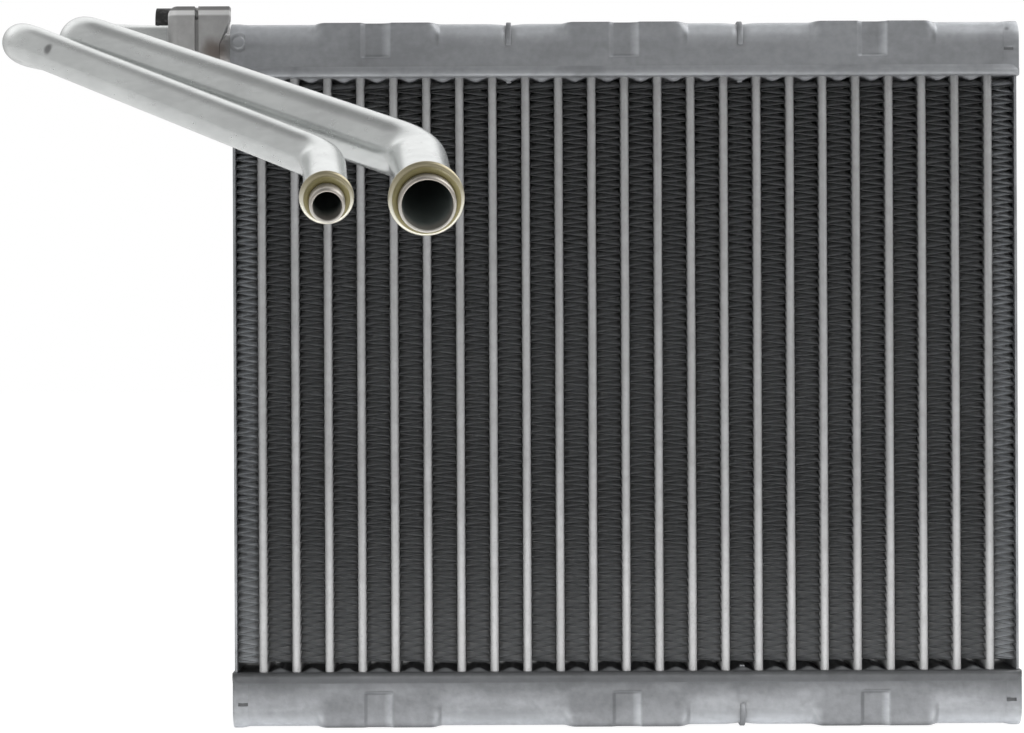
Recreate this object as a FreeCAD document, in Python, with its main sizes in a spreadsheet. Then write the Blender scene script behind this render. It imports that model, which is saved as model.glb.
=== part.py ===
import FreeCAD, Part
import math
import os
from types import SimpleNamespace

import Sketcher
from FreeCAD import Placement, Rotation, Vector

# Evaporator core of a car's air conditioning, brazed from aluminium: flat tubes and corrugated
# fins between a top and a bottom tank, with two bent pipes that come forward from the left end.
# Millimetres. X runs along the tanks, Y from the front (minus) to the rear, Z up.
# The origin is under the middle of the bottom tank, on the plane that the core stands on.

SIZES = {
    # tubes, which stand side by side along X
    "tube_count": 23,
    "tube_pitch": 10.5,
    "tube_thickness": 2.7,
    "tube_depth": 33.0,
    "tube_wall": 0.5,
    "tube_middle_web": 2.4,
    "tube_insert": 4.2,
    "nose_flat": 1.1,
    "nose_length": 1.1,
    # corrugated fins between the tubes
    "fin_fold": 0.7,
    "fin_inset": 0.4,
    "fin_waves": 14,
    "fin_end_gap": 3.1,
    "end_fin_width": 6.9,
    "side_sheet": 0.8,
    # tanks
    "header_gap": 188.7,
    "header_beyond": 0.65,
    "header_wall": 1.5,
    "flange_wall": 1.2,
    "flange_height": 2.6,
    "corner_cut": 2.0,
    "dome_height": 1.0,
    "dome_base": 5.2,
    "dome_crown": 2.6,
    "dome_beyond": 0.5,
    "tank_height": 17.4,
    "cover_short": 1.4,
    "cover_room": 0.7,
    "cover_wall": 1.6,
    "cover_corner": 6.0,
    "chamber_corner": 3.0,
    "web_wall": 1.4,
    "cap_wall": 1.2,
    "cap_skirt": 3.6,
    "cap_sheet": 0.6,
    "cap_slot_reach": 3.0,
    "cap_slot_height": 1.2,
    # pressed lobes on the tank covers, each with a notch in its middle
    "lobe_count": 3,
    "lobe_tubes": 7,
    "lobe_length": 41.0,
    "lobe_ramp": 3.5,
    "lobe_rise": 0.6,
    "lobe_sink": 2.5,
    "lobe_reach": 11.0,
    "lobe_edge": 1.2,
    "notch_width": 9.6,
    "notch_depth": 1.0,
    "notch_corner": 2.0,
    # partitions that send the refrigerant up and down through the tubes
    "partition_wall": 1.6,
    "partition_tubes": 3,
    "partition_slit": 7.5,
    "partition_proud": 0.5,
    "partition_tab": 4.0,
    "tab_middle": 13.0,
    "tab_reach": 1.7,
    "partition_hole": 7.0,
    "window_count": 4,
    "window_width": 8.0,
    "window_height": 6.0,
    # port block on the tank's end and the flange that clamps the pipes to it
    "block_standoff": 0.35,
    "block_wall": 9.9,
    "block_margin": 2.7,
    "block_rise": 4.75,
    "block_taper": 3.3,
    "taper_top": 4.2,
    "taper_height": 8.0,
    "lip_depth": 5.0,
    "socket_depth": 4.0,
    "neck_margin": 0.65,
    "neck_step": 1.5,
    "neck_side": 0.8,
    "neck_wall": 1.4,
    "joint_gap": 1.2,
    "joint_inset": 2.0,
    "joint_top_inset": 4.0,
    "flange_plate": 8.85,
    "flange_round": 3.4,
    "ear_radius": 5.2,
    # screw that clamps the flange
    "screw_y": 6.5,
    "screw_above_middle": 11.7,
    "screw_radius": 3.0,
    "screw_length": 17.0,
    "head_radius": 5.0,
    "head_height": 5.7,
    "key_across": 5.0,
    "key_depth": 3.0,
    # suction pipe, the thicker one
    "suction_y": -4.0,
    "suction_above_middle": 1.9,
    "suction_radius": 8.0,
    "suction_reach": 24.5,
    "suction_bend": 19.5,
    "suction_elbow": 24.0,
    "suction_rise": 0.0,
    "suction_aside": 49.45,
    "suction_drop": 17.0,
    "suction_leg": 148.5,
    "suction_run": 43.7,
    "suction_nose_step": 0.3,
    "suction_nose_reach": 7.6,
    "suction_bead_rise": 2.2,
    # liquid pipe, the thinner one
    "liquid_y": 13.0,
    "liquid_above_middle": 1.4,
    "liquid_radius": 6.0,
    "liquid_reach": 45.0,
    "liquid_bend": 31.0,
    "liquid_elbow": 20.0,
    "liquid_rise": 1.4,
    "liquid_aside": 45.7,
    "liquid_drop": 17.75,
    "liquid_leg": 150.6,
    "liquid_run": 36.8,
    "liquid_nose_step": 1.25,
    "liquid_nose_reach": 9.6,
    "liquid_bead_rise": 1.3,
    # both pipes
    "pipe_wall": 1.2,
    "bend_straight": 1.0,
    "nose_aside": 4.85,
    "nose_down": 18.9,
    "bead_length": 2.0,
    "bead_edge": 0.5,
    "nose_wall": 0.95,
    "ring_sheet": 1.8,
    "ring_seat": 0.4,
    # clearances, and how far a cut starts outside the metal
    "braze_gap": 0.05,
    "screw_gap": 0.3,
    "cut_over": 1.0,
}

doc = FreeCAD.newDocument("evaporator_core")
sheet = doc.addObject("Spreadsheet::Sheet", "Sizes")
for row, (word, number) in enumerate(SIZES.items(), start=1):
    sheet.set(f"A{row}", word)
    sheet.set(f"B{row}", str(number))
    sheet.setAlias(f"B{row}", word)
doc.recompute()


class Size:
    """A length that carries both its value and the sheet's formula for it."""

    def __init__(self, value, formula):
        self.value = value
        self.formula = formula

    def __add__(self, other):
        other = as_size(other)
        return Size(self.value + other.value, f"({self.formula} + {other.formula})")

    def __sub__(self, other):
        other = as_size(other)
        return Size(self.value - other.value, f"({self.formula} - {other.formula})")

    def __mul__(self, other):
        other = as_size(other)
        return Size(self.value * other.value, f"({self.formula} * {other.formula})")

    def __truediv__(self, other):
        other = as_size(other)
        return Size(self.value / other.value, f"({self.formula} / {other.formula})")

    def __radd__(self, other):
        return as_size(other) + self

    def __rsub__(self, other):
        return as_size(other) - self

    def __rmul__(self, other):
        return as_size(other) * self

    def __neg__(self):
        return as_size(0) - self


def as_size(thing):
    """A plain number as a Size, and a Size as it is."""
    if isinstance(thing, Size):
        return thing
    return Size(float(thing), str(float(thing)))


dim = SimpleNamespace(**{word: Size(float(sheet.get(word)), f"Sizes.{word}") for word in SIZES})
ZERO = as_size(0)

# Levels and places that several pieces share
low_header = dim.lobe_rise + dim.tank_height
top_header = low_header + dim.header_gap
chamber_level = (dim.tank_height + dim.header_wall - dim.cover_wall) / 2
tank_middle = top_header + chamber_level
inner_half = dim.tube_depth / 2 + dim.cover_room
cover_half = inner_half + dim.cover_wall
header_half = cover_half + dim.flange_wall
chamber_middle = (inner_half + dim.web_wall / 2) / 2
slit_level = dim.tank_height - dim.partition_slit
partition_x = dim.tube_pitch * (dim.partition_tubes + 0.5)
end_tube_x = dim.tube_pitch * (dim.tube_count - 1) / 2
fin_width = dim.tube_pitch - dim.tube_thickness
fin_depth = dim.tube_depth - dim.fin_inset * 2
end_fin_x = end_tube_x + dim.tube_thickness / 2 + dim.end_fin_width / 2
side_plate_x = end_fin_x + (dim.end_fin_width + dim.side_sheet) / 2
header_end = side_plate_x + dim.side_sheet / 2 + dim.header_beyond
cover_end = header_end - dim.cover_short
lobe_spacing = dim.tube_pitch * (dim.lobe_tubes + 0.5)
suction_neck = (dim.tank_height - dim.cover_wall - dim.header_wall) / 2 - dim.neck_margin
liquid_neck = suction_neck - dim.neck_step
neck_y = dim.web_wall / 2 + dim.neck_side + suction_neck
suction_z = tank_middle + dim.suction_above_middle
liquid_z = tank_middle + dim.liquid_above_middle
screw_z = tank_middle + dim.screw_above_middle
cap_end = cover_end + dim.cap_wall
block_right = -(header_end + dim.block_standoff)
block_left = block_right - dim.block_wall
flange_right = block_left - dim.joint_gap
flange_left = flange_right - dim.flange_plate
block_front = dim.suction_y - dim.suction_radius - dim.block_margin
block_rear = dim.liquid_y + dim.liquid_radius + dim.block_margin
block_bottom = suction_z - dim.suction_radius - dim.block_margin
block_top = suction_z + dim.suction_radius + dim.block_rise


# Helpers for bodies, sketches and features


def new_body(label):
    body = doc.addObject("PartDesign::Body", label)
    body.Label = label
    return body


def origin_part(body, role):
    return next(item for item in body.Origin.OriginFeatures if item.Role == role)


def bind(item, property_name, size):
    item.setExpression(property_name, as_size(size).formula)


def hold(drawing, held):
    """Constrain points of a sketch: held lists (geometry, point, across, up)."""
    constraints, formulas = [], []
    for geometry, point, across, up in held:
        for kind, axis, size in (("DistanceX", -2, as_size(across)), ("DistanceY", -1, as_size(up))):
            if size.formula == ZERO.formula:
                constraints.append(Sketcher.Constraint("PointOnObject", geometry, point, axis))
                formulas.append(None)
            else:
                constraints.append(Sketcher.Constraint(kind, -1, 1, geometry, point, size.value))
                formulas.append(size.formula)
    first = drawing.ConstraintCount
    drawing.addConstraint(constraints)
    for index, formula in enumerate(formulas, start=first):
        if formula:
            drawing.setExpression(f"Constraints[{index}]", formula)


def draw_outline(drawing, corners):
    """A closed outline of straight lines through the corners."""
    first = drawing.GeometryCount
    corners = [(as_size(across), as_size(up)) for across, up in corners]
    points = [Vector(across.value, up.value, 0) for across, up in corners]
    count = len(points)
    for index in range(count):
        drawing.addGeometry(Part.LineSegment(points[index], points[(index + 1) % count]))
    joins = [
        Sketcher.Constraint("Coincident", first + index, 2, first + (index + 1) % count, 1)
        for index in range(count)
    ]
    drawing.addConstraint(joins)
    hold(drawing, [(first + index, 1, *corner) for index, corner in enumerate(corners)])


def draw_circle(drawing, across, up, radius):
    across, up, radius = as_size(across), as_size(up), as_size(radius)
    circle = Part.Circle(Vector(across.value, up.value, 0), Vector(0, 0, 1), radius.value)
    index = drawing.addGeometry(circle)
    hold(drawing, [(index, 3, across, up)])
    rule = drawing.addConstraint(Sketcher.Constraint("Radius", index, radius.value))
    drawing.setExpression(f"Constraints[{rule}]", radius.formula)


def sketch(body, name, role, outlines=(), circles=(), lift=ZERO):
    """A sketch on one of the body's own planes, lifted along that plane's normal."""
    drawing = body.newObject("Sketcher::SketchObject", f"{body.Name}_{name}")
    drawing.AttachmentSupport = [(origin_part(body, role), "")]
    drawing.MapMode = "FlatFace"
    lift = as_size(lift)
    drawing.AttachmentOffset = Placement(Vector(0, 0, lift.value), Rotation())
    bind(drawing, "AttachmentOffset.Base.z", lift)
    for corners in outlines:
        draw_outline(drawing, corners)
    for across, up, radius in circles:
        draw_circle(drawing, across, up, radius)
    return drawing


def pad(body, drawing, length, symmetric=False, backwards=False):
    """Material from a sketch, along its normal."""
    feature = body.newObject("PartDesign::Pad", f"{drawing.Name}_pad")
    feature.Profile = drawing
    feature.SideType = "Symmetric" if symmetric else "One side"
    feature.Reversed = backwards
    bind(feature, "Length", length)
    body.Tip = feature
    return feature


def pocket(body, drawing, depth=None, symmetric=False, backwards=False):
    """A cut from a sketch, against its normal, and through all when no depth is given."""
    feature = body.newObject("PartDesign::Pocket", f"{drawing.Name}_pocket")
    feature.Profile = drawing
    feature.SideType = "Symmetric" if symmetric else "One side"
    feature.Reversed = backwards
    if depth is None:
        feature.Type = "ThroughAll"
    else:
        bind(feature, "Length", depth)
    body.Tip = feature
    return feature


def turned_body(body, drawing):
    """A sketch turned about its vertical axis."""
    feature = body.newObject("PartDesign::Revolution", f"{drawing.Name}_turned")
    feature.Profile = drawing
    feature.ReferenceAxis = (drawing, ["V_Axis"])
    feature.Angle = 360
    body.Tip = feature


def row_along_x(body, feature, count, spacing):
    """The feature repeated along +X."""
    pattern = body.newObject("PartDesign::LinearPattern", f"{feature.Name}_row")
    pattern.Originals = [feature]
    pattern.Direction = (origin_part(body, "X_Axis"), [""])
    pattern.Mode = "Spacing"
    bind(pattern, "Offset", spacing)
    bind(pattern, "Occurrences", count)
    body.Tip = pattern
    return pattern


def round_edges(body, name, radius, chosen):
    """Fillet on those edges of the body so far that the test picks."""
    doc.recompute()
    base = body.Tip
    names = [f"Edge{i}" for i, edge in enumerate(base.Shape.Edges, start=1) if chosen(edge)]
    feature = body.newObject("PartDesign::Fillet", f"{body.Name}_{name}")
    feature.Base = (base, names)
    bind(feature, "Radius", radius)
    body.Tip = feature
    return feature


def edge_runs(edge, axis):
    """True for a straight edge along the given axis, 0 for X, 1 for Y and 2 for Z."""
    if edge.Curve.TypeId != "Part::GeomLine":
        return False
    return abs(abs(edge.tangentAt(edge.FirstParameter)[axis]) - 1) < 1e-6


def box_outline(left, right, bottom, top):
    return [(left, bottom), (right, bottom), (right, top), (left, top)]


def cut_corner_outline(half_across, half_up, cut_across, cut_up):
    """A rectangle about the origin with its four corners cut."""
    return [
        (half_across, -(half_up - cut_up)),
        (half_across, half_up - cut_up),
        (half_across - cut_across, half_up),
        (-(half_across - cut_across), half_up),
        (-half_across, half_up - cut_up),
        (-half_across, -(half_up - cut_up)),
        (-(half_across - cut_across), -half_up),
        (half_across - cut_across, -half_up),
    ]


def mirrored(points):
    """Points on the left of the vertical axis, with their mirror images on the right."""
    return points + [(-across, up) for across, up in reversed(points)]


def place(item, x=ZERO, y=ZERO, z=ZERO, turn=Rotation()):
    item.Placement = Placement(Vector(x.value, y.value, z.value), turn)
    for axis, size in (("x", x), ("y", y), ("z", z)):
        bind(item, f"Placement.Base.{axis}", size)


def group(label, members):
    """Separate solids that share one node."""
    compound = doc.addObject("Part::Compound", label)
    compound.Label = label
    compound.Links = members
    return compound


UPSIDE_DOWN = Rotation(Vector(1, 0, 0), 180)
END_FOR_END = Rotation(Vector(0, 0, 1), 180)
FACING_LEFT = Rotation(Vector(0, 1, 0), -90)


# Flat tubes: extruded, with a front and a rear passage, and a notch in each end that takes
# the web of the tank cover


def tube_outline(gap=ZERO):
    half = dim.tube_thickness / 2
    return cut_corner_outline(
        half + gap, dim.tube_depth / 2 + gap, half - dim.nose_flat / 2, dim.nose_length
    )


def tube(number):
    body = new_body(f"tube_{number:02d}")
    side = dim.tube_thickness / 2 - dim.tube_wall
    near = dim.tube_middle_web / 2
    far = dim.tube_depth / 2 - dim.nose_length
    passages = [box_outline(-side, side, -far, -near), box_outline(-side, side, near, far)]
    section = sketch(
        body, "section", "XY_Plane", [tube_outline(), *passages], lift=-dim.tube_insert
    )
    pad(body, section, dim.header_gap + dim.tube_insert * 2)
    half = dim.web_wall / 2 + dim.braze_gap
    end = dim.tube_insert + dim.cut_over
    notches = [
        box_outline(-half, half, -end, -dim.header_wall),
        box_outline(-half, half, dim.header_gap + dim.header_wall, dim.header_gap + end),
    ]
    pocket(body, sketch(body, "notches", "YZ_Plane", notches), symmetric=True)
    place(body, x=(as_size(number) - (dim.tube_count + 1) / 2) * dim.tube_pitch, z=low_header)
    return body


# Fins: one corrugated sheet in each gap, whose crests are brazed to the tubes


def fin(number):
    count = int(dim.tube_count.value)
    at_end = number in (1, count + 1)
    width = dim.end_fin_width if at_end else fin_width
    middle = (as_size(number) - (dim.tube_count + 2) / 2) * dim.tube_pitch
    if at_end:
        middle = -end_fin_x if number == 1 else end_fin_x
    half, fold = width.value / 2, dim.fin_fold.value
    legs = 2 * int(dim.fin_waves.value)
    rise = (dim.header_gap.value - 2 * dim.fin_end_gap.value) / legs
    under = [Vector(half - fold if leg % 2 else -half, 0, leg * rise) for leg in range(legs + 1)]
    over = [point + Vector(fold, 0, 0) for point in reversed(under)]
    profile = Part.Face(Part.makePolygon([*under, *over, under[0]]))
    feature = doc.addObject("Part::Feature", f"fin_{number:02d}")
    feature.Label = f"fin_{number:02d}"
    feature.Shape = profile.extrude(Vector(0, fin_depth.value, 0))
    place(feature, x=middle, y=-fin_depth / 2, z=low_header + dim.fin_end_gap)
    return feature


# Side plates: flat sheets that close the outer fins, from header plate to header plate


def side_plate(label, side):
    body = new_body(label)
    half = dim.side_sheet / 2
    section = sketch(
        body, "section", "XY_Plane", [box_outline(-half, half, -dim.tube_depth / 2, dim.tube_depth / 2)]
    )
    pad(body, section, dim.header_gap)
    place(body, x=side_plate_x * side, z=low_header)
    return body


# Header plates: pressed trays with a slot for each tube and a dome between the slots


def header_plate(label, partition_places, tab_side, level, turn):
    body = new_body(label)
    blank = sketch(
        body,
        "blank",
        "XY_Plane",
        [cut_corner_outline(header_end, header_half, dim.corner_cut, dim.corner_cut)],
    )
    pad(body, blank, dim.flange_height)
    beyond = header_end + dim.cut_over
    tray = sketch(
        body, "tray", "XY_Plane", [box_outline(-beyond, beyond, -cover_half, cover_half)],
        lift=dim.flange_height,
    )
    pocket(body, tray, dim.flange_height - dim.header_wall)
    first_gap = dim.tube_pitch / 2 - end_tube_x
    dome = sketch(
        body,
        "dome",
        "XZ_Plane",
        [
            [
                (first_gap - dim.dome_base / 2, ZERO),
                (first_gap - dim.dome_crown / 2, -dim.dome_height),
                (first_gap + dim.dome_crown / 2, -dim.dome_height),
                (first_gap + dim.dome_base / 2, ZERO),
            ]
        ],
    )
    pressed = pad(body, dome, dim.tube_depth + dim.dome_beyond * 2, symmetric=True)
    row_along_x(body, pressed, dim.tube_count - 1, dim.tube_pitch)
    slot = sketch(
        body,
        "slot",
        "XY_Plane",
        [[(across - end_tube_x, up) for across, up in tube_outline(dim.braze_gap)]],
        lift=dim.header_wall,
    )
    row_along_x(body, pocket(body, slot), dim.tube_count, dim.tube_pitch)
    half = dim.partition_wall / 2 + dim.braze_gap
    near = dim.tab_middle - dim.partition_tab / 2 - dim.braze_gap
    far = dim.tab_middle + dim.partition_tab / 2 + dim.braze_gap
    tabs = [box_outline(x - half, x + half, near * tab_side, far * tab_side) for x in partition_places]
    pocket(body, sketch(body, "tabs", "XY_Plane", tabs, lift=dim.header_wall))
    place(body, z=level, turn=turn)
    return body


# Tank covers: pressed channels with a web down the middle, which parts a front chamber from a
# rear one, three lobes that square the rounded edges, and slits for the partitions


def cover_section(outer_half, top, bottom):
    return box_outline(-outer_half, outer_half, bottom, top)


def lobe_section(inset):
    """The squared outline of the cover at a lobe, drawn in by the inset on three sides."""
    side = cover_half - inset
    top = dim.tank_height + dim.lobe_rise - inset
    foot = dim.tank_height - dim.lobe_reach
    return mirrored([(-side, foot), (-side, top - dim.lobe_edge), (-(side - dim.lobe_edge), top)])


def add_lobes(body, notched_over):
    """Three lobes in a row, each with a notch down both faces, and over the lobe if so told."""
    first = -lobe_spacing * (dim.lobe_count - 1) / 2
    half = dim.lobe_length / 2
    stations = [
        ("foot_a", first - half, dim.lobe_sink),
        ("top_a", first - half + dim.lobe_ramp, ZERO),
        ("top_b", first + half - dim.lobe_ramp, ZERO),
        ("foot_b", first + half, dim.lobe_sink),
    ]
    sections = [
        sketch(body, f"lobe_{name}", "YZ_Plane", [lobe_section(inset)], lift=x)
        for name, x, inset in stations
    ]
    lobe = body.newObject("PartDesign::AdditiveLoft", f"{body.Name}_lobe")
    lobe.Profile = sections[0]
    lobe.Sections = sections[1:]
    lobe.Ruled = True
    body.Tip = lobe
    row_along_x(body, lobe, dim.lobe_count, lobe_spacing)

    wide = dim.notch_width / 2
    above = dim.tank_height + dim.lobe_rise + dim.cut_over
    if notched_over:
        crown = box_outline(first - wide, first + wide, dim.tank_height, above)
        cut = pocket(body, sketch(body, "notch_over", "XZ_Plane", [crown]), symmetric=True)
        row_along_x(body, cut, dim.lobe_count, lobe_spacing)
    foot = dim.tank_height - dim.lobe_reach
    groove = [
        (first - wide, above),
        (first - wide, foot + dim.notch_corner),
        (first - wide + dim.notch_corner, foot),
        (first + wide - dim.notch_corner, foot),
        (first + wide, foot + dim.notch_corner),
        (first + wide, above),
    ]
    for name, lift, backwards in (("front", cover_half, False), ("rear", -cover_half, True)):
        drawing = sketch(body, f"notch_{name}", "XZ_Plane", [groove], lift=lift)
        cut = pocket(body, drawing, dim.notch_depth, backwards=backwards)
        row_along_x(body, cut, dim.lobe_count, lobe_spacing)


def tank_cover(label, partition_places, is_top, level, turn):
    body = new_body(label)
    section = sketch(
        body, "section", "YZ_Plane", [cover_section(cover_half, dim.tank_height, dim.header_wall)]
    )
    pad(body, section, cover_end * 2, symmetric=True)
    top = dim.tank_height.value
    round_edges(
        body, "corners", dim.cover_corner,
        lambda edge: edge_runs(edge, 0) and abs(edge.CenterOfMass.z - top) < 1e-6,
    )
    add_lobes(body, is_top)

    near = dim.web_wall / 2
    ceiling = dim.tank_height - dim.cover_wall
    floor = dim.header_wall - dim.cut_over
    chamber = [
        (near, floor),
        (inner_half, floor),
        (inner_half, ceiling - dim.chamber_corner),
        (inner_half - dim.chamber_corner, ceiling),
        (near, ceiling),
    ]
    chambers = [chamber, [(-across, up) for across, up in chamber]]
    pocket(body, sketch(body, "chambers", "YZ_Plane", chambers), symmetric=True)

    half = dim.partition_wall / 2 + dim.braze_gap
    above = dim.tank_height + dim.lobe_rise + dim.cut_over
    slits = [box_outline(x - half, x + half, slit_level, above) for x in partition_places]
    pocket(body, sketch(body, "slits", "XZ_Plane", slits), symmetric=True)
    web_cut = dim.web_wall + dim.cover_wall
    web_slits = [box_outline(x - half, x + half, floor, slit_level) for x in partition_places]
    pocket(body, sketch(body, "web_slits", "XZ_Plane", web_slits), web_cut, symmetric=True)
    if not is_top:
        first = partition_x + dim.tube_pitch
        wide = dim.window_width / 2
        tall = dim.window_height / 2
        window = box_outline(first - wide, first + wide, chamber_level - tall, chamber_level + tall)
        cut = pocket(body, sketch(body, "windows", "XZ_Plane", [window]), web_cut, symmetric=True)
        row_along_x(body, cut, dim.window_count, dim.tube_pitch * 2)
    place(body, z=level, turn=turn)
    return body


# End caps: cups that close the tanks' ends, with a skirt over the cover. The left one on top has
# the two port holes, and the others have a staking slot in the skirt at the front and the rear


def end_cap(label, holes, level, turn):
    body = new_body(label)
    outer = cover_half + dim.cap_sheet
    start = cover_end - dim.cap_skirt
    rim = [
        (-cover_half, dim.header_wall),
        (-cover_half, dim.flange_height),
        (-outer, dim.flange_height),
        (-outer, dim.tank_height + dim.cap_sheet),
    ]
    blank = sketch(body, "blank", "YZ_Plane", [mirrored(rim)], lift=start)
    pad(body, blank, dim.cap_skirt + dim.cap_wall)
    inside = cover_half + dim.braze_gap
    cavity = sketch(
        body, "cavity", "YZ_Plane",
        [cover_section(inside, dim.tank_height + dim.braze_gap, dim.header_wall - dim.cut_over)],
        lift=start,
    )
    pocket(body, cavity, dim.cap_skirt, backwards=True)
    for name, gap in (("inner_corners", dim.braze_gap), ("corners", dim.cap_sheet)):
        height = (dim.tank_height + gap).value
        round_edges(
            body, name, dim.cover_corner + gap,
            lambda edge: edge_runs(edge, 0) and abs(edge.CenterOfMass.z - height) < 1e-6,
        )
    if holes:
        pocket(body, sketch(body, "ports", "YZ_Plane", circles=holes, lift=cap_end))
    else:
        tall = dim.cap_slot_height / 2
        slot = box_outline(
            start - dim.cut_over, start + dim.cap_slot_reach, chamber_level - tall, chamber_level + tall
        )
        pocket(body, sketch(body, "slots", "XZ_Plane", [slot]), symmetric=True)
    place(body, z=level, turn=turn)
    return body


# Partition plates: each fills both chambers, shows its edge in the cover's slit and has a tab
# that passes through the header plate


def partition(label, side, perforated, tab_side, level, turn):
    body = new_body(label)
    gap = dim.braze_gap
    low = inner_half - gap
    high = cover_half + dim.partition_proud
    top = dim.tank_height + dim.partition_proud
    step = slit_level + gap
    near = dim.tab_middle - dim.partition_tab / 2
    far = dim.tab_middle + dim.partition_tab / 2
    outline = mirrored([(-low, dim.header_wall), (-low, step), (-high, step), (-high, top)])
    tab = [(far, dim.header_wall), (far, -dim.tab_reach), (near, -dim.tab_reach), (near, dim.header_wall)]
    if tab_side < 0:
        tab = [(-across, up) for across, up in reversed(tab)]
    drawing = sketch(body, "section", "YZ_Plane", [outline + tab])
    pad(body, drawing, dim.partition_wall, symmetric=True)
    level_top = top.value
    round_edges(
        body, "corners", dim.cover_corner + dim.partition_proud,
        lambda edge: edge_runs(edge, 0) and abs(edge.CenterOfMass.z - level_top) < 1e-6,
    )
    if perforated:
        radius = dim.partition_hole / 2
        holes = [(chamber_middle, chamber_level, radius), (-chamber_middle, chamber_level, radius)]
        pocket(body, sketch(body, "holes", "YZ_Plane", circles=holes), symmetric=True)
    place(body, x=partition_x * side, z=level, turn=turn)
    return body


# Port block and pipe flange: machined blocks that meet on a raised joint face


def block_outline(inset=ZERO, top_inset=ZERO):
    return box_outline(
        block_front + inset, block_rear - inset, block_bottom + inset, block_top - top_inset
    )


def add_ear(body, lift, length):
    drawing = sketch(
        body, "ear", "YZ_Plane", circles=[(dim.screw_y, screw_z, dim.ear_radius)], lift=lift
    )
    pad(body, drawing, length)


def port_block():
    body = new_body("port_block")
    pad(body, sketch(body, "blank", "YZ_Plane", [block_outline()], lift=block_left), dim.block_wall)
    add_ear(body, block_left, dim.block_wall - dim.block_taper)
    low = block_bottom - dim.cut_over
    lip = block_top - dim.taper_top
    start = block_right - dim.block_taper
    taper = [
        (start, low),
        (block_right + dim.cut_over, low),
        (block_right + dim.cut_over, lip),
        (block_right, lip),
        (start, lip - dim.taper_height),
    ]
    pocket(body, sketch(body, "taper", "XZ_Plane", [taper]), symmetric=True)
    behind_lip = box_outline(
        block_front + dim.lip_depth, block_rear + dim.cut_over, low, block_top + dim.cut_over
    )
    drawing = sketch(body, "behind_lip", "YZ_Plane", [behind_lip], lift=start)
    pocket(body, drawing, dim.block_taper + dim.cut_over, backwards=True)
    necks = [
        (-neck_y, tank_middle, suction_neck),
        (neck_y, tank_middle, liquid_neck),
    ]
    pad(body, sketch(body, "necks", "YZ_Plane", circles=necks, lift=start), -cover_end - start)
    bores = [(across, up, radius - dim.neck_wall) for across, up, radius in necks]
    drawing = sketch(body, "bores", "YZ_Plane", circles=bores, lift=-cover_end)
    pocket(body, drawing, -cover_end - block_left - dim.socket_depth)
    sockets = [
        (dim.suction_y, suction_z, dim.suction_radius + dim.braze_gap),
        (dim.liquid_y, liquid_z, dim.liquid_radius + dim.braze_gap),
    ]
    drawing = sketch(body, "sockets", "YZ_Plane", circles=sockets, lift=block_left)
    pocket(body, drawing, dim.socket_depth, backwards=True)
    thread = [(dim.screw_y, screw_z, dim.screw_radius + dim.braze_gap)]
    drawing = sketch(body, "thread", "YZ_Plane", circles=thread, lift=block_left)
    pocket(body, drawing, dim.screw_length - dim.flange_plate, backwards=True)
    return body


def pipe_flange():
    body = new_body("pipe_flange")
    pad(body, sketch(body, "blank", "YZ_Plane", [block_outline()], lift=flange_left), dim.flange_plate)
    left = flange_left.value
    round_edges(
        body, "rounds", dim.flange_round,
        lambda edge: not edge_runs(edge, 0) and abs(edge.CenterOfMass.x - left) < 1e-6,
    )
    add_ear(body, flange_left, dim.flange_plate)
    outline = block_outline(dim.joint_inset, dim.joint_top_inset)
    face = sketch(body, "joint_face", "YZ_Plane", [outline], lift=flange_right)
    pad(body, face, dim.joint_gap)
    holes = [
        (dim.suction_y, suction_z, dim.suction_radius + dim.braze_gap),
        (dim.liquid_y, liquid_z, dim.liquid_radius + dim.braze_gap),
        (dim.screw_y, screw_z, dim.screw_radius + dim.screw_gap),
    ]
    pocket(body, sketch(body, "holes", "YZ_Plane", circles=holes, lift=block_left))
    return body


# Clamp screw: a hexagon socket screw, turned about its axis


def clamp_screw():
    body = new_body("clamp_screw")
    profile = [
        (ZERO, -dim.screw_length),
        (dim.screw_radius, -dim.screw_length),
        (dim.screw_radius, ZERO),
        (dim.head_radius, ZERO),
        (dim.head_radius, dim.head_height),
        (ZERO, dim.head_height),
    ]
    turned_body(body, sketch(body, "profile", "XZ_Plane", [profile]))
    flat = dim.key_across / 2
    corner = dim.key_across / math.sqrt(3)
    key = [
        (corner, ZERO),
        (corner / 2, flat),
        (-corner / 2, flat),
        (-corner, ZERO),
        (-corner / 2, -flat),
        (corner / 2, -flat),
    ]
    pocket(body, sketch(body, "key", "XY_Plane", [key], lift=dim.head_height), dim.key_depth)
    place(body, x=flange_left, y=dim.screw_y, z=screw_z, turn=FACING_LEFT)
    return body


# Pipes: bent tube, with straight runs joined by tangent arcs, and an upset bead at the nose


def direction(aside, down):
    """A unit vector to the front, turned aside towards +X and down, in degrees."""
    aside, down = math.radians(aside), math.radians(down)
    flat = math.cos(down)
    return Vector(math.sin(aside) * flat, -math.cos(aside) * flat, -math.sin(down))


def turn_between(first, second):
    return first.getAngle(second)


PIPE_WORDS = ("y", "reach", "bend", "elbow", "rise", "aside", "drop", "leg", "run")


def pipe_corners(kind):
    """The corners of a pipe's centre line, from its socket to the back of its bead."""
    part = {word: getattr(dim, f"{kind}_{word}").value for word in PIPE_WORDS}
    level = (tank_middle + getattr(dim, f"{kind}_above_middle")).value
    start = Vector((block_left + dim.socket_depth).value, part["y"], level)
    left = Vector(flange_left.value - part["reach"], part["y"], level)
    back = direction(0, -part["rise"])
    leg = direction(part["aside"], part["drop"])
    nose = direction(dim.nose_aside.value, dim.nose_down.value)
    tangents = sum(
        part["bend"] * math.tan(turn_between(before, after) / 2)
        for before, after in ((Vector(-1, 0, 0), back), (back, leg))
    )
    near = left + back * (tangents + dim.bend_straight.value)
    elbow = near + leg * part["leg"]
    end = elbow + nose * part["run"]
    return [start, left, near, elbow, end], [part["bend"], part["bend"], part["elbow"]], nose


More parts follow.
